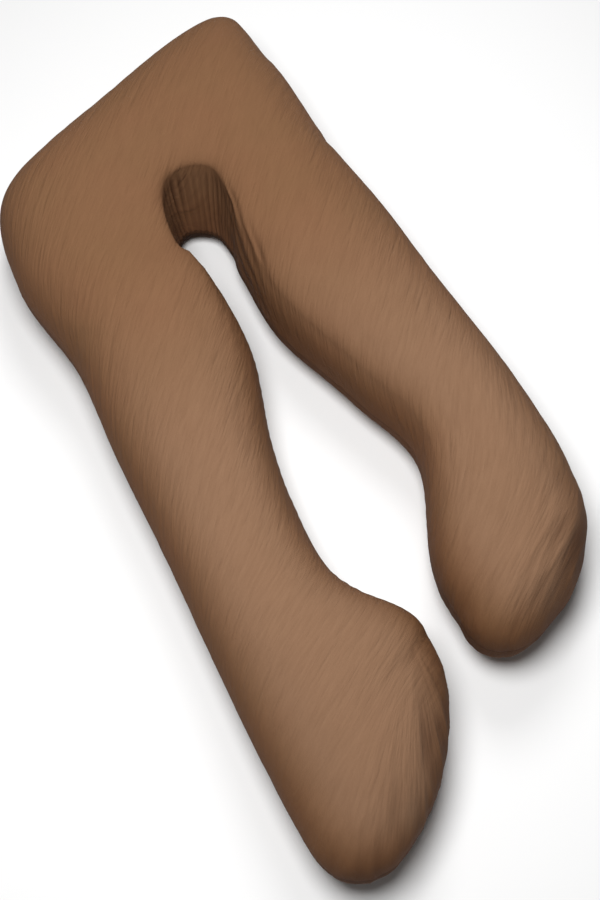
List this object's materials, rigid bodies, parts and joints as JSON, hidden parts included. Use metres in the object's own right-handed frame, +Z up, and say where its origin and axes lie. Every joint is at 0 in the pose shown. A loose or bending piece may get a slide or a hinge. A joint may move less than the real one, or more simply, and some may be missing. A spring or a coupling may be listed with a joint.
{
  "type": "pregnancy pillow",
  "caption": "U-shaped stuffed body pillow with rounded arm ends, a narrow gap between the arms and pleats round the inner bend.",
  "frame": {"origin": "centre of the pillow's plan, on the surface it lies on", "axes": "+Z up, +Y towards the bend, the open end of the U towards -Y, the longer left arm at -X"},
  "size_m": [0.7213, 1.6036, 0.2458],
  "materials": {
    "fabric": "smooth brown woven cover, matte with a faint sheen"
  },
  "bodies": {
    "root": {"pillow": "fabric"}
  },
  "joints": []
}
